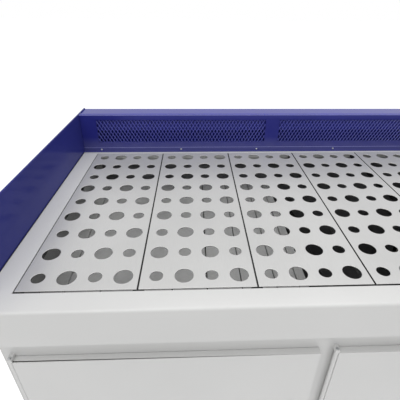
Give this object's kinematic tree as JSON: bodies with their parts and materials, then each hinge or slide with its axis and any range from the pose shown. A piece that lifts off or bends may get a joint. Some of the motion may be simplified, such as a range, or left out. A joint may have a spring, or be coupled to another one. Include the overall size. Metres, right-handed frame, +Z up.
{
  "type": "downdraft table",
  "caption": "Long downdraft work table with lift-out perforated panels, side walls, a mesh-fronted rear plenum, a cabinet with filters and fans, doors and a dust drawer.",
  "frame": {"origin": "on the floor under the middle of the table's box", "axes": "+X along the length to the right as seen from the front, +Y to the rear plenum, +Z up"},
  "size_m": [2.5844, 1.052, 1.0922],
  "materials": {
    "white_coat": "smooth white powder coat",
    "blue_coat": "glossy violet-blue powder coat",
    "stainless": "satin stainless sheet",
    "galvanised": "galvanised sheet",
    "black_paint": "semi-gloss black paint",
    "zinc": "zinc-plated steel",
    "machine_grey": "grey machine enamel",
    "filter_media": "pleated filter paper in a card frame",
    "green_plastic": "moulded",
    "red_plastic": "moulded",
    "gauge_enamel": "pale enamel dial and bezel"
  },
  "bodies": {
    "table": {"top_frame": "white_coat", "cabinet_end_left": "white_coat", "cabinet_end_right": "white_coat", "cabinet_back": "white_coat", "cabinet_floor": "white_coat", "cabinet_front": "white_coat", "exhaust_grille_left": "white_coat", "exhaust_grille_right": "white_coat", "side_wall_left": "blue_coat", "side_wall_right": "blue_coat", "plenum_face": "blue_coat", "plenum_cover": "blue_coat", "plenum_foot_strip": "blue_coat", "plenum_deflector": "blue_coat", "mesh_screen_left": "blue_coat", "mesh_screen_centre": "blue_coat", "mesh_screen_right": "blue_coat", "chamber_deck_left": "galvanised", "chamber_deck_right": "galvanised", "partition_left": "galvanised", "partition_right": "galvanised", "support_grid_left": "black_paint", "support_grid_right": "black_paint", "base_channel_1": "black_paint", "base_channel_2": "black_paint", "base_channel_3": "black_paint", "base_channel_4": "black_paint", "fan_stand_left": "black_paint", "fan_stand_right": "black_paint", "switch_box": "black_paint", "hinge_rod_left": "zinc", "hinge_rod_centre": "zinc", "hinge_rod_right": "zinc", "blower_housing_left": "machine_grey", "blower_housing_right": "machine_grey", "motor_left": "machine_grey", "motor_right": "machine_grey", "filter_left": "filter_media", "filter_right": "filter_media", "filter_gauge": "gauge_enamel"},
    "panel_1": {"work_panel_1": "stainless"},
    "panel_2": {"work_panel_2": "stainless"},
    "panel_3": {"work_panel_3": "stainless"},
    "panel_4": {"work_panel_4": "stainless"},
    "panel_5": {"work_panel_5": "stainless"},
    "panel_6": {"work_panel_6": "stainless"},
    "panel_7": {"work_panel_7": "stainless"},
    "panel_8": {"work_panel_8": "stainless"},
    "door_left": {"door_left": "white_coat"},
    "door_centre": {"door_centre": "white_coat"},
    "door_right": {"door_right": "white_coat"},
    "latch_left": {"latch_left": "black_paint"},
    "latch_centre": {"latch_centre": "black_paint"},
    "latch_right": {"latch_right": "black_paint"},
    "drawer": {"dust_drawer": "white_coat"},
    "wheel_left": {"blower_wheel_left": "zinc"},
    "wheel_right": {"blower_wheel_right": "zinc"},
    "start": {"start_button": "green_plastic"},
    "stop": {"stop_button": "red_plastic"},
    "needle": {"gauge_needle": "black_paint"}
  },
  "joints": [
    {"name": "panel_1_lift", "type": "slide", "parent": "table", "child": "panel_1", "axis": [0, 0, 1], "range_m": [0, 0.15]},
    {"name": "panel_2_lift", "type": "slide", "parent": "table", "child": "panel_2", "axis": [0, 0, 1], "range_m": [0, 0.15]},
    {"name": "panel_3_lift", "type": "slide", "parent": "table", "child": "panel_3", "axis": [0, 0, 1], "range_m": [0, 0.15]},
    {"name": "panel_4_lift", "type": "slide", "parent": "table", "child": "panel_4", "axis": [0, 0, 1], "range_m": [0, 0.15]},
    {"name": "panel_5_lift", "type": "slide", "parent": "table", "child": "panel_5", "axis": [0, 0, 1], "range_m": [0, 0.15]},
    {"name": "panel_6_lift", "type": "slide", "parent": "table", "child": "panel_6", "axis": [0, 0, 1], "range_m": [0, 0.15]},
    {"name": "panel_7_lift", "type": "slide", "parent": "table", "child": "panel_7", "axis": [0, 0, 1], "range_m": [0, 0.15]},
    {"name": "panel_8_lift", "type": "slide", "parent": "table", "child": "panel_8", "axis": [0, 0, 1], "range_m": [0, 0.15]},
    {"name": "door_left_swing", "type": "hinge", "parent": "table", "child": "door_left", "pos_m": [-1.2555, -0.498, 0.425], "axis": [0, 0, -1], "range_deg": [0, 110]},
    {"name": "door_centre_swing", "type": "hinge", "parent": "table", "child": "door_centre", "pos_m": [-0.3855, -0.498, 0.4745], "axis": [0, 0, -1], "range_deg": [0, 90]},
    {"name": "door_right_swing", "type": "hinge", "parent": "table", "child": "door_right", "pos_m": [1.2555, -0.498, 0.425], "axis": [0, 0, 1], "range_deg": [0, 110]},
    {"name": "latch_left_turn", "type": "hinge", "parent": "door_left", "child": "latch_left", "pos_m": [-0.47, -0.504, 0.425], "axis": [0, 1, 0], "range_deg": [0, 90]},
    {"name": "latch_centre_turn", "type": "hinge", "parent": "door_centre", "child": "latch_centre", "pos_m": [0.34, -0.504, 0.4745], "axis": [0, 1, 0], "range_deg": [0, 90]},
    {"name": "latch_right_turn", "type": "hinge", "parent": "door_right", "child": "latch_right", "pos_m": [0.47, -0.504, 0.425], "axis": [0, 1, 0], "range_deg": [0, 90]},
    {"name": "drawer_slide", "type": "slide", "parent": "table", "child": "drawer", "axis": [0, -1, 0], "range_m": [0, 0.5]},
    {"name": "wheel_left_spin", "type": "hinge", "parent": "table", "child": "wheel_left", "pos_m": [-0.74, 0.02, 0.4], "axis": [1, 0, 0], "continuous": true},
    {"name": "wheel_right_spin", "type": "hinge", "parent": "table", "child": "wheel_right", "pos_m": [0.74, 0.02, 0.4], "axis": [1, 0, 0], "continuous": true},
    {"name": "start_press", "type": "slide", "parent": "table", "child": "start", "axis": [0, 1, 0], "range_m": [0, 0.004], "stiffness_N_per_m": 300},
    {"name": "stop_press", "type": "slide", "parent": "table", "child": "stop", "axis": [0, 1, 0], "range_m": [0, 0.004], "stiffness_N_per_m": 300},
    {"name": "needle_swing", "type": "hinge", "parent": "table", "child": "needle", "pos_m": [1.15, -0.514, 0.8364], "axis": [0, 1, 0], "range_deg": [0, 80]}
  ]
}
